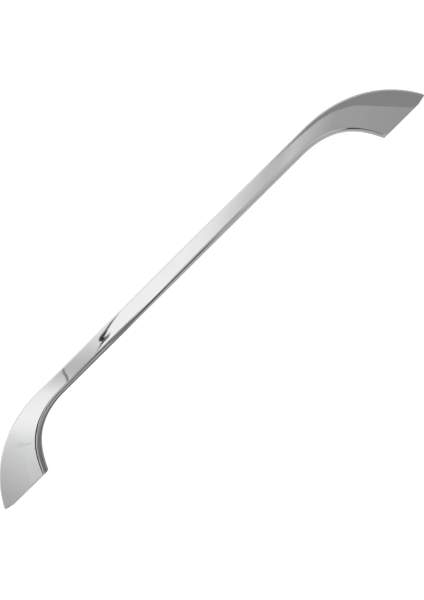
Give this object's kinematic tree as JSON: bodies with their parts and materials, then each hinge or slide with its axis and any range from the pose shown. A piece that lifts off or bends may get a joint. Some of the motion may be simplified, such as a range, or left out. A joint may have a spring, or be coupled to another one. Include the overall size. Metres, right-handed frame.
{
  "type": "cabinet bow handle",
  "caption": "Mirror-finished bow handle for a cabinet door or drawer: straight slim grip between fin-shaped feet with flat soles, fixed by machine screws from behind.",
  "frame": {"origin": "on the mounting plane, midway between the two screw holes, at the middle of the handle's width", "axes": "+X along the grip, -Y out from the door or drawer front towards the hand, so +Y is the way the screws' heads lie, and +Z across the grip"},
  "size_m": [0.2844, 0.0305, 0.01],
  "materials": {
    "chrome_plate": "bright polished chrome plate on a zinc casting",
    "insert_steel": "turned steel, zinc passivated, threaded M4"
  },
  "bodies": {
    "root": {"handle_body": "chrome_plate", "threaded_insert_left": "insert_steel", "threaded_insert_right": "insert_steel"}
  },
  "joints": []
}
